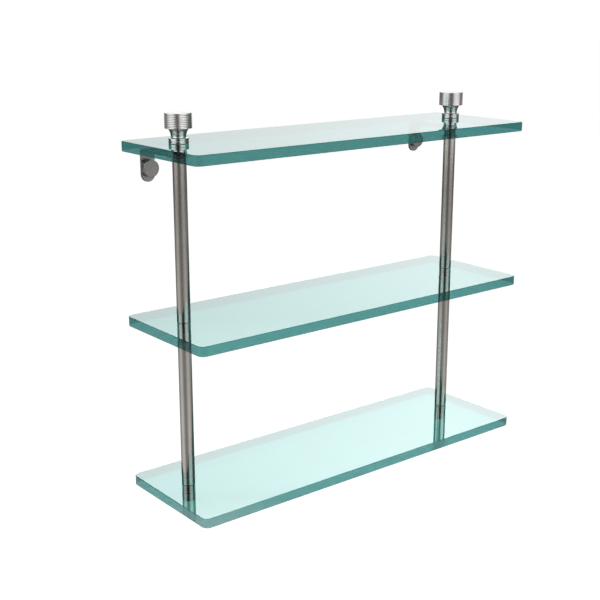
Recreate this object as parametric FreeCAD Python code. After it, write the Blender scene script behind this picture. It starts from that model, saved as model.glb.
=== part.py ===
import FreeCAD, Part
import os
from math import atan2, cos, hypot, pi, radians, sin

# Three-tier glass wall shelf. Millimetres, +Z up, +X along the plates, -Y out from the wall.
# The origin is on the wall, midway between the two wall-screw holes.

V = FreeCAD.Vector

# Glass plates
GLASS_W = 406.4
GLASS_D = 127.0
GLASS_T = 9.525
CORNER_R = 6.75
ARRIS = 0.6

# Posts
POST_SPACING = 342.9
POST_INSET = 50.8
POST_D = 12.7
POST_LEN = 152.4
POST_CHAMFER = 0.3

# Threaded studs and the nylon sleeves round them
STUD_D = 6.35
STUD_REACH = 14.0
STUD_CHAMFER = 0.6
BORE_SPARE = 2.0
THREAD_GAP = 0.06
PASS_GAP = 0.3
SLEEVE_WALL = 1.7
SLEEVE_GAP = 0.1
SLEEVE_SHORT = 0.2

# Finials
COLLAR_D = 18.0
COLLAR_H = 4.9
COLLAR_ROUND = 0.2
COLLAR_FOOT_ROUND = 0.5
NECK_D = 13.5
NECK_H = 8.6
NECK_FILLET = 1.2
NECK_TILT_DEG = 4.0
NECK_FLARE = 2.9
HEAD_D = 24.6
HEAD_H = 13.5
HEAD_ROUND = 0.2
FINIAL_STUD_REACH = 12.0
RING_COUNT = 6
RING_PITCH = 2.0
RING_W = 0.7
RING_DEPTH = 0.25

# Bottom caps
CAP_H = 7.1
CAP_ROUND = 0.6
CAP_STUD_REACH = 4.5
CAP_BORE_SPARE = 0.5

# Wall straps
STRAP_W = 14.5
STRAP_T = 2.54
STRAP_BEND_R = 1.6
BACK_GAP = 2.8
SCREW_DROP = 18.7
TAB_BELOW_SCREW = 5.75
SCREW_HOLE_D = 5.2

# Wall-screw covers
COVER_D = 16.5
COVER_LEN = 5.7
COVER_WALL = 1.6
COVER_FRONT = 1.0
COVER_ROUND = 0.5
COVER_GAP = 0.05
CUP_BASE = 1.0
CUP_WALL = 0.9
CUP_H = 3.2

# Places that follow from the sizes
SLEEVE_BORE_D = STUD_D + 2 * PASS_GAP
SLEEVE_D = SLEEVE_BORE_D + 2 * SLEEVE_WALL
GLASS_HOLE_D = SLEEVE_D + 2 * SLEEVE_GAP
THREAD_D = STUD_D + 2 * THREAD_GAP
GLASS_BACK_Y = -(STRAP_T + BACK_GAP)
POST_Y = GLASS_BACK_Y - POST_INSET
TOP_GLASS_Z = SCREW_DROP
STRAP_Z = TOP_GLASS_Z - STRAP_T
UPPER_POST_Z = STRAP_Z - POST_LEN
MIDDLE_GLASS_Z = UPPER_POST_Z - GLASS_T
LOWER_POST_Z = MIDDLE_GLASS_Z - POST_LEN
BOTTOM_GLASS_Z = LOWER_POST_Z - GLASS_T
CAP_Z = BOTTOM_GLASS_Z - CAP_H
FINIAL_Z = TOP_GLASS_Z + GLASS_T
CUP_D = COVER_D - 2 * COVER_WALL - 2 * COVER_GAP


def line(start, end):
    """Straight edge between two (r, z) points of a turned profile."""
    return Part.LineSegment(V(start[0], 0, start[1]), V(end[0], 0, end[1])).toShape()


def arc(start, middle, end):
    """Round edge through three (r, z) points of a turned profile."""
    points = [V(r, 0, z) for r, z in (start, middle, end)]
    return Part.Arc(*points).toShape()


def turned(corners):
    """Solid of revolution about Z. A corner is (r, z), or (r, z, middle r, middle z) after an arc."""
    edges = []
    for start, end in zip(corners, corners[1:] + corners[:1]):
        if len(end) == 4:
            edges.append(arc(start[:2], end[2:], end[:2]))
        else:
            edges.append(line(start[:2], end))
    return Part.Face(Part.Wire(edges)).revolve(V(0, 0, 0), V(0, 0, 1), 360)


def rounded_corner(centre_r, centre_z, radius, start_angle, sweep):
    """End of a small arc about (centre_r, centre_z), with its middle point, for a turned profile."""
    middle = start_angle + sweep / 2
    end = start_angle + sweep
    return (
        centre_r + radius * cos(end),
        centre_z + radius * sin(end),
        centre_r + radius * cos(middle),
        centre_z + radius * sin(middle),
    )


def bar(diameter, length, chamfer):
    """Round bar standing on the origin, with both ends chamfered."""
    r = diameter / 2
    return turned([
        (0, 0),
        (r - chamfer, 0),
        (r, chamfer),
        (r, length - chamfer),
        (r - chamfer, length),
        (0, length),
    ])


def bore(diameter, depth, z):
    """Round cutter on the Z axis, from z upwards."""
    return Part.makeCylinder(diameter / 2, depth, V(0, 0, z))


def placed(shape, x, y, z):
    """Copy of a shape, moved."""
    copy = shape.copy()
    copy.translate(V(x, y, z))
    return copy


def rounded_outline(x0, x1, y0, y1, radii):
    """Closed outline in the XY plane: four corners, counter-clockwise from (x1, y1), each with its radius."""
    centres = [
        (x1 - radii[0], y1 - radii[0]),
        (x0 + radii[1], y1 - radii[1]),
        (x0 + radii[2], y0 + radii[2]),
        (x1 - radii[3], y0 + radii[3]),
    ]
    rounds = []
    for i, (cx, cy) in enumerate(centres):
        angles = [i * pi / 2 + step * pi / 4 for step in range(3)]
        rounds.append([V(cx + radii[i] * cos(a), cy + radii[i] * sin(a), 0) for a in angles])
    edges = []
    for i, points in enumerate(rounds):
        following = rounds[(i + 1) % 4][0]
        if radii[i] > 0:
            edges.append(Part.Arc(*points).toShape())
        if points[2].distanceToPoint(following) > 1e-6:
            edges.append(Part.LineSegment(points[2], following).toShape())
    return Part.Wire(edges)


def glass_plate():
    """Plate standing on z = 0: rounded corners, an arris round both faces, and the two post holes."""
    outline = rounded_outline(
        -GLASS_W / 2, GLASS_W / 2, GLASS_BACK_Y - GLASS_D, GLASS_BACK_Y, [CORNER_R] * 4
    )
    plate = Part.Face(outline).extrude(V(0, 0, GLASS_T))
    rims = [e for e in plate.Edges if abs(e.Vertexes[0].Z - e.Vertexes[-1].Z) < 1e-6]
    plate = plate.makeChamfer(ARRIS, rims)
    for x in (-POST_SPACING / 2, POST_SPACING / 2):
        plate = plate.cut(Part.makeCylinder(GLASS_HOLE_D / 2, GLASS_T, V(x, POST_Y, 0)))
    return plate


def post():
    """Post with a threaded bore in each end."""
    depth = STUD_REACH + BORE_SPARE
    body = bar(POST_D, POST_LEN, POST_CHAMFER)
    return body.cut(bore(THREAD_D, depth, 0)).cut(bore(THREAD_D, depth, POST_LEN - depth))


def sleeve():
    """Nylon sleeve, a little shorter than the glass is thick."""
    length = GLASS_T - SLEEVE_SHORT
    return bore(SLEEVE_D, length, 0).cut(bore(SLEEVE_BORE_D, length, 0))


def ring_groove(radius, z):
    """Corners of one V groove in a turned side, from below to above."""
    return [(radius, z - RING_W / 2), (radius - RING_DEPTH, z), (radius, z + RING_W / 2)]


def finial(ring_count):
    """Turned hand nut: grooved collar, waisted neck, drum head with rings, and a blind threaded bore."""
    collar_r = COLLAR_D / 2
    neck_r = NECK_D / 2
    head_r = HEAD_D / 2
    head_z = COLLAR_H + NECK_H
    top_z = head_z + HEAD_H
    tilt = radians(NECK_TILT_DEG)
    waist = rounded_corner(neck_r + NECK_FILLET, COLLAR_H + NECK_FILLET, NECK_FILLET, -pi / 2, -pi / 2 - tilt)
    flare = (neck_r + NECK_FLARE - waist[0], head_z - waist[1])
    lean = atan2(*flare)
    flare_r = hypot(*flare) / (2 * sin(lean - tilt))
    foot_r = collar_r - COLLAR_FOOT_ROUND
    corners = [(0, 0), (foot_r, 0)]
    corners.append(rounded_corner(foot_r, COLLAR_FOOT_ROUND, COLLAR_FOOT_ROUND, -pi / 2, pi / 2))
    corners += ring_groove(collar_r, COLLAR_H / 2)
    corners.append((collar_r, COLLAR_H - COLLAR_ROUND))
    corners.append(rounded_corner(collar_r - COLLAR_ROUND, COLLAR_H - COLLAR_ROUND, COLLAR_ROUND, 0, pi / 2))
    corners.append((neck_r + NECK_FILLET, COLLAR_H))
    corners.append(waist)
    corners.append((
        neck_r + NECK_FLARE,
        head_z,
        waist[0] + flare_r * (cos(tilt) - cos(lean)),
        waist[1] + flare_r * (sin(lean) - sin(tilt)),
    ))
    corners.append((head_r - HEAD_ROUND, head_z))
    corners.append(rounded_corner(head_r - HEAD_ROUND, head_z + HEAD_ROUND, HEAD_ROUND, -pi / 2, pi / 2))
    first_ring = head_z + (HEAD_H - RING_PITCH * (ring_count - 1)) / 2
    for i in range(ring_count):
        corners += ring_groove(head_r, first_ring + RING_PITCH * i)
    corners.append((head_r, top_z - HEAD_ROUND))
    corners.append(rounded_corner(head_r - HEAD_ROUND, top_z - HEAD_ROUND, HEAD_ROUND, 0, pi / 2))
    corners.append((0, top_z))
    return turned(corners).cut(bore(THREAD_D, FINIAL_STUD_REACH + BORE_SPARE, 0))


def bottom_cap():
    """Round cap with a rounded lower rim and a blind threaded bore from above."""
    r = POST_D / 2
    depth = CAP_STUD_REACH + CAP_BORE_SPARE
    body = turned([
        (0, 0),
        (r - CAP_ROUND, 0),
        rounded_corner(r - CAP_ROUND, CAP_ROUND, CAP_ROUND, -pi / 2, pi / 2),
        (r, CAP_H - POST_CHAMFER),
        (r - POST_CHAMFER, CAP_H),
        (0, CAP_H),
    ])
    return body.cut(bore(THREAD_D, depth, CAP_H - depth))


def wall_strap():
    """Flat strap bent at a right angle: eyelet leg under the top plate, round-ended tab on the wall."""
    half = STRAP_W / 2
    outer_r = STRAP_BEND_R + STRAP_T
    leg = Part.Face(rounded_outline(-half, half, POST_Y - half, -outer_r, [0, 0, half, half]))
    leg = placed(leg.extrude(V(0, 0, STRAP_T)), 0, 0, STRAP_Z)
    leg = leg.cut(Part.makeCylinder(SLEEVE_BORE_D / 2, STRAP_T, V(0, POST_Y, STRAP_Z)))
    tab = Part.Face(rounded_outline(
        -half, half, -(TAB_BELOW_SCREW + half), TOP_GLASS_Z - outer_r, [0, 0, half, half]
    ))
    tab = tab.extrude(V(0, 0, STRAP_T))
    tab.rotate(V(0, 0, 0), V(1, 0, 0), 90)
    tab = tab.cut(Part.makeCylinder(SCREW_HOLE_D / 2, STRAP_T, V(0, 0, 0), V(0, -1, 0)))
    bend_axis = V(-half, -outer_r, TOP_GLASS_Z - outer_r)
    bend = Part.makeCylinder(outer_r, STRAP_W, bend_axis, V(1, 0, 0))
    bend = bend.cut(Part.makeCylinder(STRAP_BEND_R, STRAP_W, bend_axis, V(1, 0, 0)))
    bend = bend.common(Part.makeBox(STRAP_W, outer_r, outer_r, bend_axis))
    return leg.fuse([bend, tab]).removeSplitter()


def screw_cup():
    """Cup washer on the tab's front: a base under the screw head and a rim that holds the cover."""
    r = CUP_D / 2
    hole_r = SCREW_HOLE_D / 2
    return turned([
        (hole_r, 0),
        (r, 0),
        (r, CUP_H),
        (r - CUP_WALL, CUP_H),
        (r - CUP_WALL, CUP_BASE),
        (hole_r, CUP_BASE),
    ])


def screw_cover():
    """Round cover, open at the back, that snaps over the cup washer's rim."""
    r = COVER_D / 2
    inner_r = CUP_D / 2 + COVER_GAP
    return turned([
        (inner_r, 0),
        (r, 0),
        (r, COVER_LEN - COVER_ROUND),
        rounded_corner(r - COVER_ROUND, COVER_LEN - COVER_ROUND, COVER_ROUND, 0, pi / 2),
        (0, COVER_LEN),
        (0, COVER_LEN - COVER_FRONT),
        (inner_r, COVER_LEN - COVER_FRONT),
    ])


def on_tab(shape, x):
    """A turned piece laid on the tab's front face, its axis out from the wall through the screw hole."""
    laid = shape.copy()
    laid.rotate(V(0, 0, 0), V(1, 0, 0), 90)
    return placed(laid, x, -STRAP_T, 0)


def stud(above, between, below):
    """Stud on the Z axis: z = 0 is where its lower reach ends and the plate stack begins."""
    return placed(bar(STUD_D, below + between + above, STUD_CHAMFER), 0, 0, -below)


def side_pieces(side, x):
    """All pieces of one post line, by node name."""
    finial_stack = GLASS_T + STRAP_T
    rings = RING_COUNT if side == "left" else 0
    column = {
        "finial": (finial(rings), FINIAL_Z),
        "finial_stud": (stud(FINIAL_STUD_REACH, finial_stack, STUD_REACH), STRAP_Z),
        "sleeve_top": (sleeve(), TOP_GLASS_Z),
        "post_upper": (post(), UPPER_POST_Z),
        "joint_stud": (stud(STUD_REACH, GLASS_T, STUD_REACH), MIDDLE_GLASS_Z),
        "sleeve_middle": (sleeve(), MIDDLE_GLASS_Z),
        "post_lower": (post(), LOWER_POST_Z),
        "sleeve_bottom": (sleeve(), BOTTOM_GLASS_Z),
        "bottom_stud": (stud(STUD_REACH, GLASS_T, CAP_STUD_REACH), BOTTOM_GLASS_Z),
        "bottom_cap": (bottom_cap(), CAP_Z),
    }
    pieces = {f"{name}_{side}": placed(shape, x, POST_Y, z) for name, (shape, z) in column.items()}
    pieces[f"wall_strap_{side}"] = placed(wall_strap(), x, 0, 0)
    pieces[f"screw_cup_{side}"] = on_tab(screw_cup(), x)
    pieces[f"screw_cover_{side}"] = on_tab(screw_cover(), x)
    return pieces


def all_pieces():
    """Every solid of the shelf, by node name."""
    plate = glass_plate()
    pieces = {
        "glass_shelf_top": placed(plate, 0, 0, TOP_GLASS_Z),
        "glass_shelf_middle": placed(plate, 0, 0, MIDDLE_GLASS_Z),
        "glass_shelf_bottom": placed(plate, 0, 0, BOTTOM_GLASS_Z),
    }
    pieces.update(side_pieces("left", -POST_SPACING / 2))
    pieces.update(side_pieces("right", POST_SPACING / 2))
    return pieces


os.makedirs("parts", exist_ok=True)
for node, solid in all_pieces().items():
    solid.exportStep(f"parts/{node}.step")
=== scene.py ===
from collections import namedtuple
from functools import partial
from math import atan2, ceil, cos, hypot, pi, radians, sin, tan

import bpy
import numpy as np
from bpy.props import FloatProperty, FloatVectorProperty, IntProperty, PointerProperty
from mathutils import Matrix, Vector
from mathutils.geometry import delaunay_2d_cdt


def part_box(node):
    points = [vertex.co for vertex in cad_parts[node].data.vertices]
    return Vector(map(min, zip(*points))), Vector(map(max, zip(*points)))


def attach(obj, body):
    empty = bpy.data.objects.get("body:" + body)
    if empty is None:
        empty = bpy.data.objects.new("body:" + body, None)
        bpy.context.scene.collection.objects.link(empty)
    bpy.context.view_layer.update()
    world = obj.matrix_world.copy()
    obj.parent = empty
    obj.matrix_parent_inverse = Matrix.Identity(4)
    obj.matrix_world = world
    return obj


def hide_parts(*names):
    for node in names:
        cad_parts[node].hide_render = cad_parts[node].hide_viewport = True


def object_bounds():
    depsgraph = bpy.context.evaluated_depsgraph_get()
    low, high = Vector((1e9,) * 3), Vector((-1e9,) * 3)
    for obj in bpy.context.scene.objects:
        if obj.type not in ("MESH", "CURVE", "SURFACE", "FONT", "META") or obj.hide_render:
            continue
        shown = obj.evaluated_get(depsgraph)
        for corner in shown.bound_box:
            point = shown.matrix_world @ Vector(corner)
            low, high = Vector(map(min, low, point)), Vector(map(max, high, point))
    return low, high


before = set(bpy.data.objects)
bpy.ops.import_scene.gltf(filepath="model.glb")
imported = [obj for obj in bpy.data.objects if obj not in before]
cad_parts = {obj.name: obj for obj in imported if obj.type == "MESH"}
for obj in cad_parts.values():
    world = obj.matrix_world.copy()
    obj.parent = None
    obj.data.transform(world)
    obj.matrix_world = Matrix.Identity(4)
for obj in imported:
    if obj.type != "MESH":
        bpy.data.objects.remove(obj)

bl_info = {
    "name": "Three-Tier Glass Wall Shelf",
    "version": (1, 0, 0),
    "blender": (4, 5, 0),
    "location": "View3D > Sidebar > Glass Shelf",
    "description": "Builds a wall shelf of glass plates, nickel posts and turned finials",
    "category": "Add Mesh",
}

CAD_BOX = [list(corner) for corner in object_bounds()]
SIDES = ("left", "right")
TIERS = ("top", "middle", "bottom")
ROOT_BODY = "shelf"
MM = 0.001
# Height of the wall screws
SCREW_Z = 0.0

# Mesh fineness
TURN_STEPS = 96
CORNER_STEPS = 14
ARC_STEPS = 4
SUPPORT = 0.06 * MM
SHARP_ANGLE = radians(38)
THREAD_ROWS = 9
THREAD_STEPS = 36
BEND_STEPS = 10
HOLE_STEPS = 64
FLARE_STEPS = 12
SAME_POINT = 1e-8
TINY = 1e-9

# points (n, 3), faces as index lists, a material zone per face, and two marks per point:
# edge is 1 on a rounded or broken edge, along is the distance along the turned or bent profile
Surface = namedtuple("Surface", "points faces zones edge along")


# Sizes and colours that a user would change

def real(name, description, default, **limits):
    """Property for a number, with limits and a unit or subtype."""
    return FloatProperty(name=name, description=description, default=default, **limits)


def length(name, description, default):
    """Property for a length, given in millimetres."""
    return real(name, description, default * MM, min=0.0, precision=5, unit="LENGTH")


def share(name, description, default):
    """Property for a share from 0 to 1."""
    return real(name, description, default, min=0.0, max=1.0, subtype="FACTOR")


def tint(name, description, default):
    """Property for a linear colour."""
    return FloatVectorProperty(
        name=name, description=description, default=default, min=0.0, max=1.0, subtype="COLOR"
    )


class ShelfGlass(bpy.types.PropertyGroup):
    """Glass plates."""
    corner: length("Corner radius", "Radius of the plates' corners", 6.75)
    arris: length("Arris", "Width of the ground edge round each face", 0.6)
    hole: length("Hole", "Diameter of the drilled holes", 10.55)
    hole_arris: length("Hole arris", "Width of the ground edge round each hole", 0.3)
    relief: length("Relief", "Gap between a face and what it touches", 0.03)
    clear: tint("Square tint", "What a face lets through square on", (0.90, 0.96, 0.95))
    slanted: tint("Slanted tint", "What a face lets through at a slant", (0.17, 0.465, 0.445))
    grazing: tint("Grazing tint", "What a face lets through at a grazing look", (0.175, 0.50, 0.48))
    edge: tint("Edge tint", "What an edge lets in a little off square", (0.42, 0.515, 0.51))
    edge_square: tint("Square edge tint", "What an edge lets in square on", (0.36, 0.47, 0.465))
    edge_slanted: tint("Slanted edge tint", "What an edge lets in at a slant", (0.36, 0.45, 0.45))
    edge_back: tint("Far edge tint", "What a far edge lets out", (0.08, 0.35, 0.34))
    ground: tint("Arris tint", "What a ground arris lets through", (0.17, 0.39, 0.38))
    inner: share("Inner reflection", "How much the faces mirror from inside", 0.8)
    edge_gloss: share("Edge gloss", "How much the polished edges mirror", 0.12)


class ShelfMetal(bpy.types.PropertyGroup):
    """Metal and nylon finishes. The nickel is darkened as painted shade on the wall brackets and brightened
    as painted light on the finials.
    """
    nickel: tint("Nickel", "Satin nickel of the posts and caps", (0.544, 0.512, 0.476))
    # Painted shade: the wall brackets get the posts' nickel made darker, standing for the shade that the
    # glass plates cast on them.
    dark: tint("Nickel darkened as painted shade", "Satin nickel of the wall brackets, darkened as painted shade", (0.33, 0.314, 0.296))
    # Painted light: the finials get a nickel brighter than the posts', standing for the fuller light they
    # catch above the top plate.
    bright: tint("Nickel brightened as painted light", "Nickel of the turned finials, brightened as painted light", (0.76, 0.75, 0.73))
    rub: real("Rub", "How much brighter rubbed edges are", 1.12, min=1.0)
    roughness: share("Roughness", "Roughness of the satin finish", 0.145)
    bright_roughness: share("Bright roughness", "Roughness of the turned finials", 0.15)
    dark_roughness: share("Dark roughness", "Roughness of the wall brackets", 0.3)
    zinc: tint("Zinc", "Zinc plating on studs and washers", (0.63, 0.65, 0.66))
    zinc_dull: tint("Dull zinc", "Zinc that has dulled", (0.42, 0.44, 0.45))
    nylon: tint("Nylon", "Nylon of the sleeves", (0.045, 0.048, 0.047))


class ShelfFinial(bpy.types.PropertyGroup):
    """Turned finials."""
    collar: length("Collar", "Diameter of the collar", 18.0)
    collar_height: length("Collar height", "Height of the collar", 4.9)
    collar_round: length("Collar round", "Rounding of the collar's upper rim", 0.2)
    collar_foot: length("Collar foot", "Rounding of the collar's lower rim", 0.5)
    neck: length("Neck", "Diameter of the neck at its waist", 13.5)
    neck_height: length("Neck height", "Height from the collar to the head", 8.6)
    neck_fillet: length("Neck fillet", "Fillet at the foot of the neck", 1.2)
    neck_flare: length("Neck flare", "How far the neck opens towards the head", 2.9)
    neck_tilt: real("Neck tilt", "Slope of the neck at its waist", radians(4), subtype="ANGLE")
    head_round: length("Head round", "Rounding of the head's rims", 0.2)
    rings: IntProperty(name="Rings", description="Grooves round the left head", default=6, min=0)
    ring_pitch: length("Ring pitch", "Distance between grooves", 2.0)
    ring_width: length("Ring width", "Width of one groove", 0.7)
    ring_depth: length("Ring depth", "Depth of one groove", 0.25)
    ring_round: length("Ring round", "Rounding of a groove's lips", 0.05)
    bore_depth: length("Bore depth", "Depth of the threaded bore", 14.0)


class ShelfRod(bpy.types.PropertyGroup):
    """Posts, caps, studs and sleeves."""
    bore: length("Bore", "Diameter of the threaded bores", 6.47)
    post_bore: length("Post bore depth", "Depth of the bores in a post", 16.0)
    post_break: length("Post edge", "Rounding of the posts' end rims", 0.3)
    cap_bore: length("Cap bore depth", "Depth of the bore in a cap", 5.0)
    cap_round: length("Cap round", "Rounding of a cap's lower rim", 0.6)
    countersink: length("Countersink", "Bevel at the mouth of a bore", 0.4)
    pitch: length("Thread pitch", "Pitch of the studs' thread", 1.27)
    thread_depth: length("Thread depth", "Depth of the studs' thread", 0.62)
    stud_bevel: length("Stud bevel", "Bevel at the ends of a stud", 0.6)
    sleeve_bore: length("Sleeve bore", "Inner diameter of a sleeve", 6.95)
    sleeve_round: length("Sleeve round", "Rounding of a sleeve's rims", 0.25)


class ShelfBracket(bpy.types.PropertyGroup):
    """Wall straps, cup washers and screw covers."""
    thickness: length("Strap thickness", "Thickness of the strap", 2.54)
    bend: length("Bend radius", "Inner radius of the bend", 1.6)
    edge_break: length("Edge break", "Bevel along the strap's edges", 0.25)
    leg_hole: length("Leg hole", "Hole for the stud", 6.95)
    screw_hole: length("Screw hole", "Hole for the wall screw", 5.2)
    cover_wall: length("Cover wall", "Side wall of a screw cover", 1.6)
    cover_front: length("Cover front", "Front wall of a screw cover", 1.0)
    cover_round: length("Cover round", "Rounding of a cover's front rim", 0.5)
    cup_wall: length("Cup wall", "Wall of a cup washer's rim", 0.9)
    cup_base: length("Cup base", "Base of a cup washer", 1.0)


class ShelfStage(bpy.types.PropertyGroup):
    """Camera, floor and light."""
    camera: FloatVectorProperty(
        name="Camera", description="Where the camera stands", subtype="TRANSLATION", unit="LENGTH",
        default=(-0.699737, -0.891178, 0.154485),
    )
    heading: real("Heading", "Turn of the view to the right of +Y", radians(38.551), subtype="ANGLE")
    pitch: real("Pitch", "Downward tilt of the view", radians(15.374), subtype="ANGLE")
    lens: real("Lens", "Focal length", 66.498, unit="CAMERA")
    floor_drop: length("Floor drop", "Height of the shelf over the floor", 600.0)
    floor: tint("Floor", "Floor colour", (0.86, 0.86, 0.86))
    floor_glow: share("Floor glow", "How white the floor looks in its own shadow", 0.58)
    ambient: real("Ambient", "Even light on matt surfaces", 0.5, min=0.0)
    ceiling: real("Ceiling", "Brightness of the ceiling panels", 5.95, min=0.0)
    mirror_contrast: real("Mirror contrast", "Contrast of metal mirrored in glass", 1.75, min=1.0)
    mirror_tint: tint("Mirror tint", "Tint of metal mirrored in glass", (0.84, 1.0, 0.99))
    key_power: real("Key light", "Power of the ceiling lamp", 20.0, min=0.0, unit="POWER")


# Surfaces

def wrapped_quads(rows, columns, wrap_rows=False):
    """Quads (i, j), (i, j + 1), (i + 1, j + 1), (i + 1, j) of a grid whose columns close into rings."""
    i = np.arange(rows if wrap_rows else rows - 1)[:, None]
    j = np.arange(columns)[None, :]
    right = (j + 1) % columns
    above = (i + 1) % rows * columns
    here = i * columns
    return np.stack([here + j, here + right, above + right, above + j], axis=-1).reshape(-1, 4)


def rounded_path(corners, closed=False):
    """Path through corners (a, b, radius): straight runs, with an arc at each corner that touches both.

    With unit vectors u and v to the neighbours and half angle h between them, the arc is about
    corner + (u + v) / |u + v| * radius / sin h, and starts radius / tan h from the corner. A support
    point beside each arc keeps the flat run flat. Returns the points and a mark, 1 on the arcs.
    """
    corners = np.asarray(corners, float)
    spots, radius = corners[:, :2], corners[:, 2:]
    runs = np.stack([np.roll(spots, shift, axis=0) - spots for shift in (1, -1)])
    sizes = np.linalg.norm(runs, axis=-1, keepdims=True)
    ways = runs / sizes
    cosine = np.clip(ways.prod(axis=0).sum(axis=-1, keepdims=True), -1, 1)
    half = np.maximum(np.arccos(cosine) / 2, TINY)
    reach = radius / np.tan(half)
    bisector = ways.sum(axis=0)
    bisector /= np.maximum(np.linalg.norm(bisector, axis=-1, keepdims=True), TINY)
    centre = spots + bisector * radius / np.sin(half)
    ends = spots + ways * reach - centre
    sweep = pi - 2 * half
    t = np.linspace(0, 1, ARC_STEPS + 1)
    weights = np.sin(np.stack([1 - t, t])[:, None] * sweep) / np.maximum(np.sin(sweep), TINY)
    arcs = centre[:, None] + (weights[..., None] * ends[:, :, None]).sum(axis=0)
    support = np.where(radius > 0, SUPPORT, 0)
    lead, tail = spots + ways * np.maximum(np.minimum(reach + support, sizes / 2), reach)
    rows = np.concatenate([lead[:, None], arcs, tail[:, None]], axis=1)
    marks = np.zeros(rows.shape[:2])
    marks[:, 1:-1] = radius > 0
    if not closed:
        rows[0] = spots[0]
        rows[-1] = spots[-1]
    points = rows.reshape(-1, 2)
    keep = np.linalg.norm(points - np.roll(points, 1, axis=0), axis=1) > SAME_POINT
    return points[keep], marks.reshape(-1)[keep]


def even_angles(count):
    """Angles of even steps round a full turn."""
    return np.arange(count) * 2 * pi / count


def unit(angle):
    """Unit vectors (cos a, sin a)."""
    return np.stack([np.cos(angle), np.sin(angle)], axis=-1)


def revolved(r, z, edge, along, steps, ring=False):
    """Surface about Z: (r cos t, r sin t, z) over rows of r and z and even steps of the angle t.

    A ring's last row joins its first. Otherwise both lie on the axis, as poles with fans of triangles.
    """
    r, z, edge, along, angle = np.broadcast_arrays(r, z, edge, along, even_angles(steps))
    used = slice(None) if ring else slice(steps - 1, 1 - steps)
    points = np.stack([r * np.cos(angle), r * np.sin(angle), z], axis=-1).reshape(-1, 3)[used]
    quads = wrapped_quads(len(r), steps, ring)
    if ring:
        faces = quads.tolist()
    else:
        quads = np.clip(quads - (steps - 1), 0, len(points) - 1)
        faces = quads[steps:-steps].tolist() + quads[:steps, 1:].tolist() + quads[-steps:, :3].tolist()
    zones = np.zeros(len(faces), int)
    return Surface(points, faces, zones, edge.reshape(-1)[used], along.reshape(-1)[used])


def lathe(corners, closed=False):
    """Surface of revolution of a path through corners (r, z, radius): from axis to axis, or a closed ring."""
    path, marks = rounded_path(corners, closed)
    run = np.linalg.norm(np.diff(path, axis=0, prepend=path[:1]), axis=1).cumsum()
    return revolved(*np.column_stack([path, marks, run]).T[..., None], TURN_STEPS, closed)


def threaded_bar(radius, height, rod):
    """Bar with a helical thread: r(t, z) = radius - depth (1 - ridge), cut by a cone at both ends.

    The ridge is a trapezoid of the turn, z / pitch - t / 2 pi, with narrow crests and wider roots.
    """
    root, crest, crest_mark = 0.25, 0.125, 0.9
    rows = ceil(height / rod.pitch * THREAD_ROWS) + 1
    z = np.concatenate([[0], np.linspace(0, height, rows), [height]])[:, None]
    turn = (z / rod.pitch - even_angles(THREAD_STEPS) / (2 * pi)) % 1
    ridge = np.clip((abs(turn - 0.5) * 2 - root) / (1 - root - crest), 0, 1)
    cone = radius - rod.stud_bevel + np.minimum(z, height - z)
    r = np.minimum(radius - rod.thread_depth * (1 - ridge), cone)
    edge = (ridge > crest_mark).astype(float)
    r[[0, -1]] = edge[[0, -1]] = 0
    return revolved(r, z, edge, z, THREAD_STEPS)


def rounded_rectangle(low, high, radius):
    """Counter-clockwise outline: four corner centres, each plus radius (cos a, sin a) over a quarter turn."""
    (x0, y0), (x1, y1) = low + radius, high - radius
    centres = np.array([(x1, y1), (x0, y1), (x0, y0), (x1, y0)])
    angle = np.arange(4)[:, None] * pi / 2 + np.linspace(0, pi / 2, CORNER_STEPS + 1)
    return (centres[:, None] + radius * unit(angle)).reshape(-1, 2)


def circle(centre, radius, steps=HOLE_STEPS):
    """Counter-clockwise circle about a centre."""
    return np.asarray(centre) + radius * unit(even_angles(steps))


def filled(loops, indices, flip):
    """Triangles between an outer loop and the loops of its holes, by the points' indices.

    They run counter-clockwise, or clockwise where flip is -1.
    """
    points = np.concatenate(loops)
    ends = np.cumsum([len(loop) for loop in loops])
    rims = []
    for end, loop in zip(ends, loops):
        index = np.arange(end - len(loop), end)
        rims += np.stack([index, np.roll(index, -1)], axis=-1).tolist()
    inside_with_holes, merge = 2, 1e-6
    spots = [Vector(p) for p in points / MM]
    spots, _, found, origins = delaunay_2d_cdt(spots, rims, [], inside_with_holes, merge)[:4]
    if len(spots) != len(points):
        raise RuntimeError("the outline crosses itself")
    found = np.array(found)
    corners = np.array(spots)[found]
    one, two = corners[:, 1] - corners[:, 0], corners[:, 2] - corners[:, 0]
    clockwise = one[:, 0] * two[:, 1] < one[:, 1] * two[:, 0]
    found[clockwise] = found[clockwise][:, ::-1]
    source = np.array([origin[0] for origin in origins])
    return np.concatenate(indices)[source[found]][:, ::flip].tolist()


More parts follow.
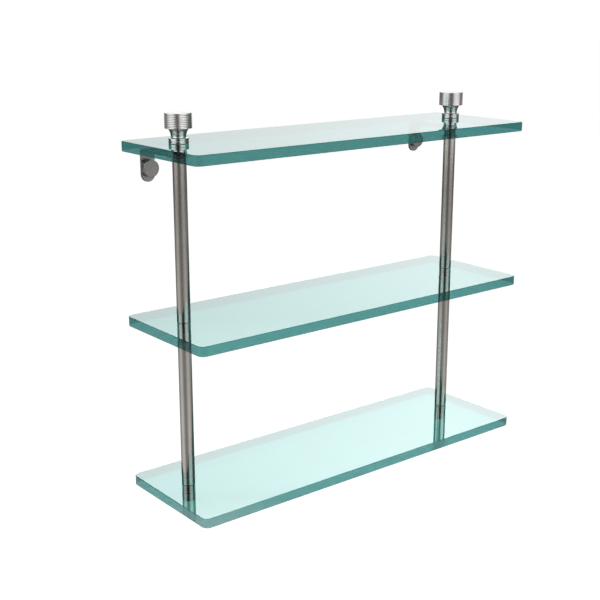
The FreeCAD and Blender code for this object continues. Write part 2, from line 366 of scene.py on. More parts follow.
def plate(low, high, holes, glass):
    """Flat plate: its outline and hole rims, moved in by the arris at the two faces and straight between.

    Level k of a rim is the rim moved in by (arris, 0, 0, arris)[k] at z = (0, arris, t - arris, t)[k].
    Zones are 0 on the faces, 1 on the edges and 2 on the arrises.
    """
    z0, z1 = low[2] + glass.relief, high[2] - glass.relief
    corner_low, corner_high = np.array(low[:2]), np.array(high[:2])

    def rim_levels(shape, arris):
        heights = (z0, z0 + arris, z1 - arris, z1)
        loops = [shape(inset) for inset in (arris, 0, 0, arris)]
        return [np.column_stack([loop, np.full(len(loop), z)]) for loop, z in zip(loops, heights)]

    outer = rim_levels(
        lambda inset: rounded_rectangle(corner_low + inset, corner_high - inset, glass.corner - inset),
        glass.arris,
    )
    bores = [
        rim_levels(lambda inset, hole=hole: circle(hole, glass.hole / 2 + inset), glass.hole_arris)
        for hole in holes
    ]
    rims = [outer, *bores]
    points, faces, zones, indices, start = [], [], [], [], 0
    for rim in rims:
        count = len(rim[0])
        quads = start + wrapped_quads(4, count)
        faces += (quads if rim is outer else quads[:, ::-1]).tolist()
        zones += np.repeat([2, 1, 2], count).tolist()
        indices.append(start + np.arange(4 * count).reshape(4, -1))
        points += rim
        start += 4 * count
    for level, flip in ((3, 1), (0, -1)):
        faces += filled([rim[level][:, :2] for rim in rims], [index[level] for index in indices], flip)
    zones += [0] * (len(faces) - len(zones))
    points = np.concatenate(points)
    return Surface(points, faces, np.array(zones), np.zeros(len(points)), points[:, 0])


def strap(low, high, hole_y, bracket):
    """Strip of even width with round ends, folded once: flat leg, quarter-circle bend, flat tab.

    A point of the unrolled strip is (w, s, h): across, along from the leg's tip, and down from the outer
    side. On the bend the angle a grows with s from 0 to a right angle, and the point lies at
    centre + (outer radius - h) (sin a, cos a) in Y and Z.
    """
    rim_marks, hole_mark = (1.0, 0.6, 0.6, 1.0), 0.5
    thick, broken = bracket.thickness, bracket.edge_break
    half = (high[0] - low[0]) / 2
    middle = (high[0] + low[0]) / 2
    outer = bracket.bend + thick
    centre_y, centre_z = high[1] - outer, high[2] - outer
    leg = centre_y - low[1]
    bent = outer * pi / 2
    total = leg + bent + centre_z - low[2]
    stations = leg + np.linspace(0, bent, BEND_STEPS + 1)
    tip = np.linspace(0, pi, 2 * CORNER_STEPS + 1)

    def outline(inset):
        """Counter-clockwise in (w, s): tab end, left side of the bend, leg tip, right side of the bend."""
        r = half - inset
        side = np.full(len(stations), r)
        w = [r * np.cos(tip), -side, -r * np.cos(tip), side]
        s = [total - half + r * np.sin(tip), stations[::-1], half - r * np.sin(tip), stations]
        return np.column_stack([np.concatenate(w), np.concatenate(s)])

    def folded(strip, h):
        w, s = strip.T
        a = np.clip((s - leg) / bent, 0, 1) * pi / 2
        lift = outer - h
        y = centre_y + lift * np.sin(a) + np.minimum(s - leg, 0)
        z = centre_z + lift * np.cos(a) - np.maximum(s - leg - bent, 0)
        return np.column_stack([middle + w, y, z])

    count = 2 * (len(tip) + len(stations))
    tab, left, leg_tip, right = np.split(np.arange(count), np.cumsum([len(tip), len(stations), len(tip)]))
    left = left[::-1]
    tab_loop = np.concatenate([tab, left[-1:], right[-1:]])
    leg_loop = np.concatenate([left[:1], leg_tip, right[:1]])
    bend = np.stack([left[:-1], right[:-1], right[1:], left[1:]], axis=-1)
    levels = ((broken, 0), (0, broken), (0, thick - broken), (broken, thick))
    rims = [outline(inset) for inset, _ in levels]
    points = [folded(rim, h) for rim, (_, h) in zip(rims, levels)]
    faces = wrapped_quads(4, count)[:, ::-1].tolist()
    edge = np.repeat(rim_marks, count).tolist()
    holes = (
        (leg_loop, (0.0, hole_y - low[1]), bracket.leg_hole / 2),
        (tab_loop, (0.0, leg + bent + centre_z - SCREW_Z), bracket.screw_hole / 2),
    )
    start = 4 * count
    for loop, centre, radius in holes:
        bore = circle(centre, radius)
        bore_index = start + np.arange(2 * HOLE_STEPS).reshape(2, -1)
        points += [folded(bore, 0), folded(bore, thick)]
        edge += [hole_mark] * (2 * HOLE_STEPS)
        faces += (start + wrapped_quads(2, HOLE_STEPS)).tolist()
        for level, rim_start, index, flip in ((0, 0, 0, 1), (3, 3 * count, 1, -1)):
            faces += filled([rims[level][loop], bore], [rim_start + loop, bore_index[index]], flip)
        start += 2 * HOLE_STEPS
    for rim_start, flip in ((0, 1), (3 * count, -1)):
        faces += (rim_start + bend)[:, ::flip].tolist()
    points = np.concatenate(points)
    return Surface(points, faces, np.zeros(len(faces), int), np.array(edge), points[:, 1] - points[:, 2])


def middle_of(node):
    """Centre of a node's box in X and Y."""
    return np.mean(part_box(node), axis=0)[:2]


def added(name, data):
    """New object with this data in the scene."""
    thing = bpy.data.objects.new(name, data)
    bpy.context.scene.collection.objects.link(thing)
    return thing


def make_piece(name, surface, materials, node, body=ROOT_BODY):
    """Mesh object at the origin that stands for a node and hides it, rides on its body and takes these
    materials.
    """
    mesh = bpy.data.meshes.new(name)
    mesh.from_pydata(surface.points.tolist(), [], surface.faces)
    mesh.polygons.foreach_set("material_index", surface.zones.astype(np.int32))
    for mark in ("edge", "along"):
        layer = mesh.attributes.new(mark, "FLOAT", "POINT")
        layer.data.foreach_set("value", getattr(surface, mark).astype(np.float32))
    for material in materials:
        mesh.materials.append(material)
    mesh.shade_smooth()
    mesh.set_sharp_from_angle(angle=SHARP_ANGLE)
    if mesh.validate():
        raise RuntimeError(f"{name} has faulty faces")
    piece = added(name, mesh)
    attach(piece, body)
    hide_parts(node)


def make_round(name, surface_of, materials, node, body=ROOT_BODY, on_wall=False):
    """Piece round a vertical axis, or on the wall round a screw's axis, where its Z points to -Y.

    Its surface comes from the radius and the length of its node.
    """
    low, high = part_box(node)
    axis = 1 if on_wall else 2
    surface = surface_of((high[0] - low[0]) / 2, high[axis] - low[axis])
    points = surface.points
    x, y = middle_of(node)
    foot = (x, y, low[2])
    if on_wall:
        points = points[:, [0, 2, 1]] * (1, -1, 1)
        foot = (x, high[1], SCREW_Z)
    make_piece(name, surface._replace(points=points + foot), materials, node, body)


# Nodes

def add_node(tree, kind, inputs=None, **settings):
    """New node with its settings, and with constants or links on its inputs."""
    node = tree.nodes.new(kind)
    for name, value in settings.items():
        setattr(node, name, value)
    for socket, value in (inputs or {}).items():
        if isinstance(value, bpy.types.NodeSocket):
            tree.links.new(value, node.inputs[socket])
        else:
            node.inputs[socket].default_value = value
    return node


def worked(tree, operation, *values):
    """Result of a Math node on numbers or sockets."""
    return add_node(tree, "ShaderNodeMath", dict(enumerate(values)), operation=operation).outputs[0]


def spread(tree, value, low, high):
    """Value from 0 to 1 mapped to the range from low to high."""
    return add_node(tree, "ShaderNodeMapRange", {"Value": value, "To Min": low, "To Max": high}).outputs[0]


def within(tree, value, low, high, **settings):
    """Value in the range from low to high mapped to 0 to 1."""
    inputs = {"Value": value, "From Min": low, "From Max": high}
    return add_node(tree, "ShaderNodeMapRange", inputs, **settings).outputs[0]


def noise(tree, inputs, **settings):
    """Value of a noise texture."""
    return add_node(tree, "ShaderNodeTexNoise", inputs, **settings).outputs["Fac"]


def marked(tree, mark):
    """A piece's own mark, edge or along."""
    return add_node(tree, "ShaderNodeAttribute", attribute_name=mark).outputs["Fac"]


def opaque(colour):
    """A colour with its alpha; a socket stays as it is."""
    return colour if isinstance(colour, bpy.types.NodeSocket) else (*colour, 1.0)


def mixed(tree, mask, first, second):
    """Colour between two colours or colour sockets by a mask."""
    factor, a, b, result = 0, 6, 7, 2
    inputs = {factor: mask, a: opaque(first), b: opaque(second)}
    return add_node(tree, "ShaderNodeMix", inputs, data_type="RGBA").outputs[result]


def ramped(tree, value, stops):
    """Colour along a ramp of (place, colour) stops."""
    node = add_node(tree, "ShaderNodeValToRGB", {"Fac": value})
    elements = node.color_ramp.elements
    while len(elements) < len(stops):
        elements.new(0.5)
    for element, (at, colour) in zip(elements, stops):
        element.position = at
        element.color = (*colour, 1.0)
    return node.outputs["Color"]


def bumped(tree, height, strength, distance):
    """Normal of a bump from a height socket."""
    inputs = {"Height": height, "Strength": strength, "Distance": distance}
    return add_node(tree, "ShaderNodeBump", inputs).outputs["Normal"]


# Shared effects

def brushed_lines(group, given):
    """Noise stretched by a scale per axis: fine along one direction and slow along the others."""
    vectors = {0: given["Vector"], 1: given["Scale"]}
    scaled = add_node(group, "ShaderNodeVectorMath", vectors, operation="MULTIPLY").outputs[0]
    return noise(group, {"Vector": scaled, "Scale": 1.0, "Detail": 3.0})


def turned_lines(group, given):
    """Noise of the distance along a turned profile: rings left by the lathe tool."""
    count = worked(group, "MULTIPLY", given["Along"], given["Per Metre"])
    return noise(group, {"W": count, "Scale": 1.0, "Detail": 2.0}, noise_dimensions="1D")


def handling_marks(group, given):
    """Soft patches left by hands and cloths, as a mask from 0 to 1."""
    faint, full = 0.42, 0.72
    look = {"Vector": given["Vector"], "Scale": given["Scale"], "Detail": 4.0, "Distortion": 0.6}
    return within(group, noise(group, look), faint, full, interpolation_type="SMOOTHSTEP")


def rubbed_edges(group, given):
    """Mask of edges rubbed bright: the piece's edge mark, broken up by noise."""
    faint, full = 0.3, 0.6
    patches = noise(group, {"Vector": given["Vector"], "Scale": 400.0, "Detail": 3.0})
    return worked(group, "MULTIPLY", given["Edge"], within(group, patches, faint, full))


# What makes each effect, and the defaults of its inputs
EFFECTS = {
    "Brushed Lines": (brushed_lines, {"Vector": (0, 0, 0), "Scale": (1, 1, 1)}),
    "Turned Lines": (turned_lines, {"Along": 0.0, "Per Metre": 7000.0}),
    "Handling Marks": (handling_marks, {"Vector": (0, 0, 0), "Scale": 60.0}),
    "Rubbed Edges": (rubbed_edges, {"Vector": (0, 0, 0), "Edge": 0.0}),
}


def shared_group(name):
    """The node group of an effect, made when first asked for."""
    group = bpy.data.node_groups.get(name)
    if group:
        return group
    group = bpy.data.node_groups.new(name, "ShaderNodeTree")
    make, defaults = EFFECTS[name]
    for label, default in defaults.items():
        kind = "NodeSocketVector" if isinstance(default, tuple) else "NodeSocketFloat"
        group.interface.new_socket(label, in_out="INPUT", socket_type=kind).default_value = default
    group.interface.new_socket("Value", in_out="OUTPUT", socket_type="NodeSocketFloat")
    result = make(group, group.nodes.new("NodeGroupInput").outputs)
    add_node(group, "NodeGroupOutput", {"Value": result})
    return group


def effect(tree, name, inputs):
    """Output of an effect in a material. An effect with a vector lies in the object's coordinates."""
    node = add_node(tree, "ShaderNodeGroup", inputs, node_tree=shared_group(name))
    if "Vector" in node.inputs:
        spot = tree.nodes.new("ShaderNodeTexCoord").outputs["Object"]
        tree.links.new(spot, node.inputs["Vector"])
    return node.outputs["Value"]


# Materials

def new_material(name):
    """Empty material and its node tree."""
    material = bpy.data.materials.new(name)
    material.use_nodes = True
    material.node_tree.nodes.clear()
    return material, material.node_tree


def add_shader(tree, inputs):
    """Principled BSDF with these inputs as a material's surface."""
    shader = add_node(tree, "ShaderNodeBsdfPrincipled", inputs)
    add_node(tree, "ShaderNodeOutputMaterial", {"Surface": shader.outputs["BSDF"]})


def squared(colour):
    """The base colour whose square root, which one crossing of the surface takes, is this colour."""
    return tuple(channel * channel for channel in colour)


def brightened(colour, factor):
    """The colour times a factor, up to white."""
    return tuple(min(1.0, channel * factor) for channel in colour)


def glass_material(name, stops, wear, worn, roughness=0.0, gloss=1.0, inner=0.0, back=None):
    """Clear glass that bends nothing: light crosses it tinted, and a hard coat gives its reflections.

    Stops (slant, tint) run from square on, 0, to along the surface, 1. Back is the tint from inside, if that
    differs, and worn the tint that marks mix in, by wear at most. The coat mirrors by gloss from outside and
    by inner from inside.
    """
    smear = 0.02
    material, tree = new_material(name)
    marks = effect(tree, "Handling Marks", {"Scale": 14.0})
    inside = tree.nodes.new("ShaderNodeNewGeometry").outputs["Backfacing"]
    slant = add_node(tree, "ShaderNodeLayerWeight", {"Blend": 0.5}).outputs["Facing"]
    through = ramped(tree, slant, [(at, squared(colour)) for at, colour in stops])
    if back is not None:
        through = mixed(tree, inside, through, squared(back))
    add_shader(tree, {
        "Transmission Weight": 1.0,
        "IOR": 1.001,
        "Coat IOR": 1.5,
        "Coat Roughness": roughness,
        "Base Color": mixed(tree, spread(tree, marks, 0.0, wear), through, squared(worn)),
        "Roughness": spread(tree, marks, roughness, roughness + smear),
        "Coat Weight": spread(tree, inside, gloss, inner),
    })
    return material


def plate_glass(glass):
    """A plate's faces, sea green at a slant; its polished edges, darker from inside; its ground arrises."""
    face = ((0.4, glass.clear), (0.57, glass.slanted), (0.88, glass.grazing))
    edge = ((0.05, glass.edge_square), (0.15, glass.edge), (0.22, glass.edge), (0.45, glass.edge_slanted))
    arris = ((0.0, glass.ground), (1.0, glass.ground))
    dark = glass.edge_back
    return [
        glass_material("Plate glass face", face, 0.03, glass.slanted, inner=glass.inner),
        glass_material("Plate glass edge", edge, 0.05, dark, gloss=glass.edge_gloss, back=dark),
        glass_material("Ground glass arris", arris, 0.3, glass.edge, roughness=0.12),
    ]


# Lines of a brushed finish per metre, for rods along Z and for straps that lie in Y and Z
ROD_LINES = (5200.0, 5200.0, 40.0)
STRAP_LINES = (4800.0, 45.0, 45.0)


def satin_nickel(name, base, roughness, metal, brushed=None):
    """Satin nickel plate: fine lines in the finish, handling marks, and edges rubbed bright.

    The lines are brushed where lines per metre are given. Otherwise they are rings of the lathe tool.
    """
    dulled, grain, handled, polished = 0.93, 0.04, 0.03, -0.06
    material, tree = new_material(name)
    if brushed:
        lines = effect(tree, "Brushed Lines", {"Scale": brushed})
    else:
        lines = effect(tree, "Turned Lines", {"Along": marked(tree, "along")})
    marks = effect(tree, "Handling Marks", {"Scale": 55.0})
    rub = effect(tree, "Rubbed Edges", {"Edge": marked(tree, "edge")})
    soiled = mixed(tree, marks, base, brightened(base, dulled))
    finish = spread(tree, lines, roughness - grain, roughness + grain)
    finish = worked(tree, "MULTIPLY_ADD", marks, handled, finish)
    add_shader(tree, {
        "Metallic": 1.0,
        "Base Color": mixed(tree, rub, soiled, brightened(base, metal.rub)),
        "Roughness": worked(tree, "MULTIPLY_ADD", rub, polished, finish),
        "Normal": bumped(tree, lines, strength=0.15, distance=0.004 * MM),
    })
    return material


def zinc_plate(metal):
    """Zinc plating on steel: bright, with dull patches. It is made once."""
    name = "Zinc plated steel"
    if name in bpy.data.materials:
        return bpy.data.materials[name]
    material, tree = new_material(name)
    marks = effect(tree, "Handling Marks", {"Scale": 320.0})
    rub = effect(tree, "Rubbed Edges", {"Edge": marked(tree, "edge")})
    patchy = mixed(tree, marks, metal.zinc, metal.zinc_dull)
    add_shader(tree, {
        "Metallic": 1.0,
        "Base Color": mixed(tree, rub, patchy, metal.zinc),
        "Roughness": spread(tree, marks, 0.26, 0.46),
    })
    return material


def dark_nylon(metal):
    """Moulded nylon: dark, with a faint bloom."""
    bloom = brightened(metal.nylon, 1.8)
    material, tree = new_material("Dark nylon")
    marks = effect(tree, "Handling Marks", {"Scale": 500.0})
    add_shader(tree, {
        "Base Color": mixed(tree, marks, metal.nylon, bloom),
        "Roughness": spread(tree, marks, 0.42, 0.58),
        "Normal": bumped(tree, marks, strength=0.2, distance=0.01 * MM),
    })
    return material


# Pieces

class SHELF_OT_plates(bpy.types.Operator):
    """Make the three glass plates"""
    bl_idname = "shelf.plates"
    bl_label = "Glass Plates"

    def execute(self, context):
        glass = context.scene.shelf_glass
        zones = plate_glass(glass)
        holes = [middle_of(f"post_upper_{side}") for side in SIDES]
        for tier in TIERS:
            node = f"glass_shelf_{tier}"
            make_piece(f"plate_{tier}", plate(*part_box(node), holes, glass), zones, node)
        return {"FINISHED"}


def bored(rod, floor, mouth):
    """Corners of a threaded bore, from its floor to the bevel at its mouth."""
    r, bevel = rod.bore / 2, rod.countersink
    rim = mouth + bevel if floor > mouth else mouth - bevel
    return [(0, floor, 0), (r, floor, 0), (r, rim, 0), (r + bevel, mouth, 0)]


class SHELF_OT_posts(bpy.types.Operator):
    """Make the four posts, each bored at both ends"""
    bl_idname = "shelf.posts"
    bl_label = "Posts"

    def execute(self, context):
        rod, metal = context.scene.shelf_rod, context.scene.shelf_metal
        finish = [satin_nickel("Satin nickel, drawn rod", metal.nickel, metal.roughness, metal, ROD_LINES)]

        def post(r, tall):
            lower = [*bored(rod, rod.post_bore, 0), (r, 0, rod.post_break)]
            upper = [(r, tall, rod.post_break), *bored(rod, tall - rod.post_bore, tall)[::-1]]
            return lathe(lower + upper)

        for side in SIDES:
            for level in ("upper", "lower"):
                make_round(f"rod_{level}_{side}", post, finish, f"post_{level}_{side}")
        return {"FINISHED"}


def groove(radius, z, finial):
    """Corners of one V groove in a turned side, from below to above."""
    half, lip = finial.ring_width / 2, finial.ring_round
    return [(radius, z - half, lip), (radius - finial.ring_depth, z, lip), (radius, z + half, lip)]


def turned_finial(head, tall, rings, finial, rod):
    """Finial turned about its bore: grooved collar, filleted neck that flares on an arc, and drum head.

    The flare is an arc over the angles a from the neck's tilt t: (R (cos t - cos a), R (sin a - sin t)). Its
    chord leans by l, so it ends at 2 l - t, and R = chord / (2 sin (l - t)).
    """
    collar, neck = finial.collar / 2, finial.neck / 2
    tilt, flare, top = finial.neck_tilt, finial.neck_flare, finial.collar_height
    reach = finial.neck_fillet / tan(pi / 4 - tilt / 2)
    neck_z = top + reach * cos(tilt)
    head_z = top + finial.neck_height
    rise = head_z - neck_z
    lean = atan2(flare, rise)
    flare_r = hypot(flare, rise) / (2 * sin(lean - tilt))
    turns = np.linspace(tilt, 2 * lean - tilt, FLARE_STEPS + 1)
    flare_x = neck + flare_r * (cos(tilt) - np.cos(turns))
    flare_z = neck_z + flare_r * (np.sin(turns) - sin(tilt))
    first_ring = head_z + (tall - head_z - finial.ring_pitch * (rings - 1)) / 2
    corners = [
        *bored(rod, finial.bore_depth, 0),
        (collar, 0, finial.collar_foot),
        *groove(collar, top / 2, finial),
        (collar, top, finial.collar_round),
        (neck - reach * sin(tilt), top, finial.neck_fillet),
        *np.column_stack([flare_x, flare_z, 0 * turns]).tolist(),
        (head, head_z, finial.head_round),
    ]
    for index in range(rings):
        corners += groove(head, first_ring + finial.ring_pitch * index, finial)
    return lathe(corners + [(head, tall, finial.head_round), (0, tall, 0)])


class SHELF_OT_finials(bpy.types.Operator):
    """Make the two turned finials; the left head is ringed, the right smooth"""
    bl_idname = "shelf.finials"
    bl_label = "Finials"

    def execute(self, context):
        finial, rod, metal = context.scene.shelf_finial, context.scene.shelf_rod, context.scene.shelf_metal
        # The finials take the nickel brightened as painted light.
        finish = [satin_nickel("Bright nickel, turned", metal.bright, metal.bright_roughness, metal)]
        for side in SIDES:
            node = f"finial_{side}"
            rings = finial.rings if side == "left" else 0
            form = partial(turned_finial, rings=rings, finial=finial, rod=rod)
            make_round(f"knob_{side}", form, finish, node, node)
        return {"FINISHED"}


class SHELF_OT_caps(bpy.types.Operator):
    """Make the two caps under the bottom plate"""
    bl_idname = "shelf.caps"
    bl_label = "Bottom Caps"

    def execute(self, context):
        rod, metal = context.scene.shelf_rod, context.scene.shelf_metal
        finish = [satin_nickel("Satin nickel, turned cap", metal.nickel, metal.roughness, metal)]

        def cap(r, tall):
            outside = [(0, 0, 0), (r, 0, rod.cap_round), (r, tall, rod.post_break)]
            return lathe(outside + bored(rod, tall - rod.cap_bore, tall)[::-1])

        for side in SIDES:
            make_round(f"cap_{side}", cap, finish, f"bottom_cap_{side}")
        return {"FINISHED"}


class SHELF_OT_studs(bpy.types.Operator):
    """Make the six threaded studs"""
    bl_idname = "shelf.studs"
    bl_label = "Threaded Studs"

    def execute(self, context):
        finish = [zinc_plate(context.scene.shelf_metal)]
        form = partial(threaded_bar, rod=context.scene.shelf_rod)
        for side in SIDES:
            for use, body in (("finial", f"finial_stud_{side}"), ("joint", ROOT_BODY), ("bottom", ROOT_BODY)):
                make_round(f"thread_{use}_{side}", form, finish, f"{use}_stud_{side}", body)
        return {"FINISHED"}


class SHELF_OT_sleeves(bpy.types.Operator):
    """Make the six nylon sleeves in the glass holes"""
    bl_idname = "shelf.sleeves"
    bl_label = "Nylon Sleeves"

    def execute(self, context):
        rod = context.scene.shelf_rod
        finish = [dark_nylon(context.scene.shelf_metal)]
        bore, soft = rod.sleeve_bore / 2, rod.sleeve_round

        def sleeve(r, tall):
            return lathe([(bore, 0, soft), (r, 0, soft), (r, tall, soft), (bore, tall, soft)], closed=True)

        for side in SIDES:
            for tier in TIERS:
                make_round(f"bush_{tier}_{side}", sleeve, finish, f"sleeve_{tier}_{side}")
        return {"FINISHED"}


class SHELF_OT_straps(bpy.types.Operator):
    """Make the two bent wall straps"""
    bl_idname = "shelf.straps"
    bl_label = "Wall Straps"

    def execute(self, context):
        metal = context.scene.shelf_metal
        # The straps take the nickel darkened as painted shade.
        finish = [
            satin_nickel("Satin nickel, brushed strap", metal.dark, metal.dark_roughness, metal, STRAP_LINES)
        ]
        for side in SIDES:
            node = f"wall_strap_{side}"
            hole_y = middle_of(f"post_upper_{side}")[1]
            surface = strap(*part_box(node), hole_y, context.scene.shelf_bracket)
            make_piece(f"strap_{side}", surface, finish, node)
        return {"FINISHED"}


class SHELF_OT_covers(bpy.types.Operator):
    """Make the cup washers on the wall tabs and the round covers over them"""
    bl_idname = "shelf.covers"
    bl_label = "Screw Covers"

    def execute(self, context):
        bracket, metal = context.scene.shelf_bracket, context.scene.shelf_metal
        # The screw covers take the nickel darkened as painted shade.
        disc = [satin_nickel("Satin nickel, turned cover", metal.dark, metal.dark_roughness, metal)]
        plated = [zinc_plate(metal)]
        broken, hole, base = bracket.edge_break, bracket.screw_hole / 2, bracket.cup_base

        def cover(r, deep):
            inner, inside = r - bracket.cover_wall, deep - bracket.cover_front
            return lathe([
                (0, inside, 0), (inner, inside, 0), (inner, 0, broken), (r, 0, broken),
                (r, deep, bracket.cover_round), (0, deep, 0),
            ])

        def cup(r, deep):
            rim = r - bracket.cup_wall
            return lathe([
                (hole, 0, 0), (r, 0, broken), (r, deep, broken), (rim, deep, broken),
                (rim, base, broken), (hole, base, 0),
            ], closed=True)

        for side in SIDES:
            make_round(f"disc_{side}", cover, disc, f"screw_cover_{side}", on_wall=True)
            make_round(f"cup_{side}", cup, plated, f"screw_cup_{side}", on_wall=True)
        return {"FINISHED"}


# Stage

FLOOR_RADIUS = 30.0
LAMP_SIZE = 1.4
LAMP_PLACE = (0.0, -0.25, 2.0)
SENSOR_WIDTH = 36.0
WHITE = (1.0, 1.0, 1.0)
# Glossy depths over which a reflection is seen in one mirror, and over which in two
ONE_MIRROR = 0.5
TWO_MIRRORS = 1.5
# Heights of a direction between which the low set of panels gives way to the high set
HORIZON = (0.03, 0.08)
# Brightness of the studio by the height of the direction, as shares of the ceiling's: for metal, for metal
# that is mirrored in glass or in more metal, and for glass, whose dome is the same above and below
LOW_LEVELS = (
    (-1.0, 0.006), (-0.97, 0.01), (-0.93, 0.02), (-0.87, 0.05), (-0.7, 0.12), (-0.5, 0.14), (-0.39, 0.148),
    (-0.34, 0.136), (-0.29, 0.114), (-0.26, 0.116), (-0.21, 0.098), (-0.17, 0.056), (-0.148, 0.02),
    (-0.137, 0.04), (-0.127, 0.125), (-0.117, 0.29), (-0.108, 0.48), (-0.099, 0.32), (-0.091, 0.12),
    (-0.08, 0.08), (-0.04, 0.12),
)
METAL_LEVELS = LOW_LEVELS + (
    (0.02, 0.17), (0.06, 0.18), (0.09, 0.22), (0.2, 0.25), (0.5, 0.2), (0.6, 0.08), (0.75, 0.2), (1.0, 0.3),
)
TWICE_LEVELS = LOW_LEVELS + (
    (0.02, 0.19), (0.09, 0.34), (0.115, 0.24), (0.135, 0.19), (0.2, 0.29), (0.3, 0.66), (0.42, 0.95),
    (0.5, 0.3), (0.58, 0.14), (0.8, 0.12), (1.0, 0.04),
)
FACE_LEVELS = (
    (0.02, 0.15), (0.06, 0.17), (0.09, 0.225), (0.13, 0.26), (0.28, 0.475), (0.42, 1.0), (0.55, 1.0),
    (0.7, 0.25), (1.0, 0.05),
)
# Bright and dark panels round the studio, by degrees to the right of the camera. Metal sees a soft set a
# little below the horizon and a hard set elsewhere, which above the horizon has a bright panel behind the
# shelf. Mirrored metal sees its panels with more contrast and no bright one behind. Glass sees an even ring
SOFT_PANELS = (
    (-180, 0.35), (-150, 0.37), (-115, 0.48), (-86, 0.94), (-56, 0.97), (-24, 0.42), (6, 0.4), (32, 0.74),
    (50, 0.92), (66, 0.86), (84, 0.61), (100, 0.54), (120, 0.55), (150, 0.38), (180, 0.35),
)
HARD_PANELS = (
    (-102, 0.15), (-78, 0.95), (-64, 1.0), (-40, 1.0), (-16, 0.14), (8, 0.12), (32, 0.95), (52, 1.0),
    (72, 0.95), (97, 0.18), (124, 0.23),
)
DARK_BACK = ((-180, 0.2), *HARD_PANELS, (180, 0.2))
BRIGHT_BACK = ((-180, 0.9), (-165, 0.85), (-155, 0.15), *HARD_PANELS, (155, 0.15), (165, 0.95), (180, 0.9))
RING = ((-180, 0.9), (-172, 0.8), (-150, 0.85), (150, 0.95), (172, 1.0), (180, 0.9))
SOFT_SHARE = ((-0.47, 0.0), (-0.4, 1.0), (-0.15, 1.0), (-0.1, 0.0))


def looked_at(tree, path):
    """Two masks: what the camera sees straight or through glass, and what it sees in metal or glass."""
    through = worked(tree, "MAXIMUM", path["Is Camera Ray"], path["Is Transmission Ray"])
    seen = worked(tree, "MAXIMUM", through, path["Is Glossy Ray"])
    mirrored = worked(tree, "MULTIPLY", seen, worked(tree, "GREATER_THAN", path["Glossy Depth"], ONE_MIRROR))
    return worked(tree, "SUBTRACT", seen, mirrored), mirrored


def studio_world(stage):
    """White to the camera and through glass; to reflections a dome whose panels put stripes on metal."""
    world = bpy.data.worlds.new("Studio")
    bpy.context.scene.world = world
    world.use_nodes = True
    tree = world.node_tree
    tree.nodes.clear()
    direction = tree.nodes.new("ShaderNodeTexCoord").outputs["Generated"]
    turned = add_node(
        tree, "ShaderNodeVectorRotate", {"Vector": direction, "Angle": stage.heading}, rotation_type="Z_AXIS"
    )
    axes = add_node(tree, "ShaderNodeSeparateXYZ", {"Vector": turned.outputs[0]}).outputs
    angle = worked(tree, "ARCTAN2", axes["X"], worked(tree, "MULTIPLY", axes["Y"], -1.0))
    around = within(tree, angle, -pi, pi)
    height = within(tree, axes["Z"], -1.0, 1.0)
    above = within(tree, axes["Z"], *HORIZON)
    metal, twice, soft_share = [
        ramped(tree, height, [((z + 1) / 2, (shade,) * 3) for z, shade in stops])
        for stops in (METAL_LEVELS, TWICE_LEVELS, SOFT_SHARE)
    ]
    steep = worked(tree, "ABSOLUTE", axes["Z"])
    face = ramped(tree, steep, [(z, (shade,) * 3) for z, shade in FACE_LEVELS])
    soft, dark_back, bright_back, ring = [
        ramped(tree, around, [((at + 180) / 360, (shade,) * 3) for at, shade in stops])
        for stops in (SOFT_PANELS, DARK_BACK, BRIGHT_BACK, RING)
    ]
    path = tree.nodes.new("ShaderNodeLightPath").outputs
    deep = worked(tree, "GREATER_THAN", path["Glossy Depth"], TWO_MIRRORS)
    leaving = worked(tree, "MULTIPLY", path["Is Transmission Ray"], above)
    bounced = worked(tree, "MULTIPLY", path["Is Singular Ray"], path["Is Reflection Ray"])
    sharp = worked(tree, "MAXIMUM", bounced, leaving)
    glazed = worked(tree, "MULTIPLY", sharp, worked(tree, "SUBTRACT", 1.0, deep))
    striped = mixed(tree, soft_share, dark_back, soft)
    harder = worked(tree, "POWER", striped, stage.mirror_contrast)
    panels = mixed(tree, glazed, mixed(tree, above, striped, mixed(tree, deep, bright_back, harder)), ring)
    level = mixed(tree, glazed, mixed(tree, deep, metal, twice), face)
    shown = worked(tree, "MULTIPLY", worked(tree, "MULTIPLY", level, panels), stage.ceiling)
    plain, mirrored = looked_at(tree, path)
    strength = mixed(tree, plain, mixed(tree, mirrored, (stage.ambient,) * 3, shown), WHITE)
    colour = mixed(tree, worked(tree, "MULTIPLY", deep, above), WHITE, stage.mirror_tint)
    sky = add_node(tree, "ShaderNodeBackground", {"Color": colour, "Strength": strength})
    add_node(tree, "ShaderNodeOutputWorld", {"Surface": sky.outputs[0]})


def floor_material(stage):
    """Pale floor that glows for the camera and through glass, so that only its shadows look grey."""
    material, tree = new_material("Studio floor")
    plain = looked_at(tree, tree.nodes.new("ShaderNodeLightPath").outputs)[0]
    add_shader(tree, {
        "Base Color": opaque(stage.floor),
        "Roughness": 1.0,
        "Specular IOR Level": 0.0,
        "Emission Color": opaque(WHITE),
        "Emission Strength": spread(tree, plain, 0.0, stage.floor_glow),
    })
    return material


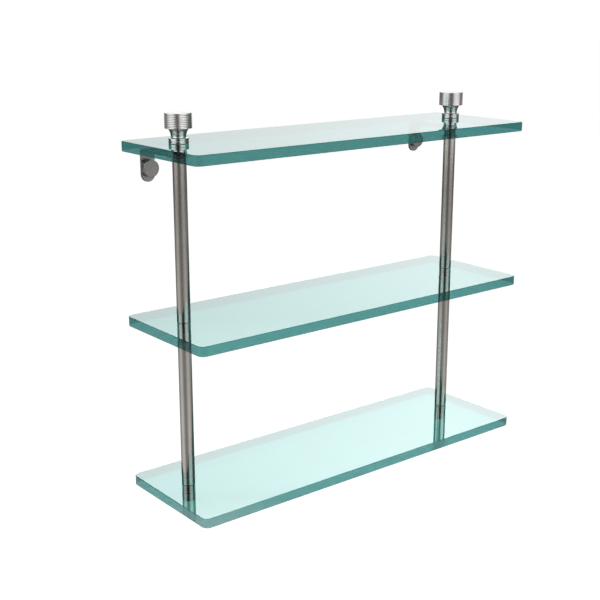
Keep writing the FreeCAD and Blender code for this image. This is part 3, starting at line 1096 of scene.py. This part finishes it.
class SHELF_OT_stage(bpy.types.Operator):
    """Make the floor, the studio light and the camera"""
    bl_idname = "shelf.stage"
    bl_label = "Stage"

    def execute(self, context):
        scene = context.scene
        stage = scene.shelf_stage
        scene.view_settings.view_transform = "Standard"
        studio_world(stage)
        floor_z = np.full(TURN_STEPS, CAD_BOX[0][2] - stage.floor_drop)
        rim = np.column_stack([circle((0, 0), FLOOR_RADIUS, TURN_STEPS), floor_z])
        mesh = bpy.data.meshes.new("floor")
        mesh.from_pydata(rim.tolist(), [], [list(range(TURN_STEPS))])
        mesh.materials.append(floor_material(stage))
        floor = added("floor", mesh)
        floor.visible_glossy = False
        floor.visible_transmission = False
        lamp = bpy.data.lights.new("ceiling_lamp", "AREA")
        lamp.shape = "SQUARE"
        lamp.size = LAMP_SIZE
        lamp.energy = stage.key_power
        key = added("ceiling_lamp", lamp)
        key.location = LAMP_PLACE
        key.visible_camera = False
        key.visible_glossy = False
        data = bpy.data.cameras.new("camera")
        data.lens = stage.lens
        data.sensor_width = SENSOR_WIDTH
        camera = added("camera", data)
        camera.location = stage.camera
        camera.rotation_euler = (pi / 2 - stage.pitch, 0.0, -stage.heading)
        scene.camera = camera
        return {"FINISHED"}


class SHELF_PT_panel(bpy.types.Panel):
    """Lists the pieces of the shelf"""
    bl_idname = "SHELF_PT_panel"
    bl_label = "Glass Shelf"
    bl_space_type = "VIEW_3D"
    bl_region_type = "UI"
    bl_category = "Glass Shelf"

    def draw(self, context):
        for operator in OPERATORS:
            self.layout.operator(operator.bl_idname)
        for name in SETTINGS:
            box = self.layout.box()
            settings = getattr(context.scene, name)
            for field in settings.__annotations__:
                box.prop(settings, field)


SETTINGS = {
    "shelf_glass": ShelfGlass,
    "shelf_metal": ShelfMetal,
    "shelf_finial": ShelfFinial,
    "shelf_rod": ShelfRod,
    "shelf_bracket": ShelfBracket,
    "shelf_stage": ShelfStage,
}
OPERATORS = (
    SHELF_OT_stage, SHELF_OT_plates, SHELF_OT_posts, SHELF_OT_finials, SHELF_OT_caps, SHELF_OT_studs,
    SHELF_OT_sleeves, SHELF_OT_straps, SHELF_OT_covers,
)


def register():
    for name, group in SETTINGS.items():
        bpy.utils.register_class(group)
        setattr(bpy.types.Scene, name, PointerProperty(type=group))
    for cls in (*OPERATORS, SHELF_PT_panel):
        bpy.utils.register_class(cls)


def unregister():
    for cls in (SHELF_PT_panel, *reversed(OPERATORS)):
        bpy.utils.unregister_class(cls)
    for name, group in reversed(SETTINGS.items()):
        delattr(bpy.types.Scene, name)
        bpy.utils.unregister_class(group)


def main():
    """Register the add-on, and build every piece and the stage."""
    register()
    bpy.ops.shelf.stage()
    bpy.ops.shelf.plates()
    bpy.ops.shelf.posts()
    bpy.ops.shelf.finials()
    bpy.ops.shelf.caps()
    bpy.ops.shelf.studs()
    bpy.ops.shelf.sleeves()
    bpy.ops.shelf.straps()
    bpy.ops.shelf.covers()


if __name__ == "__main__":
    main()
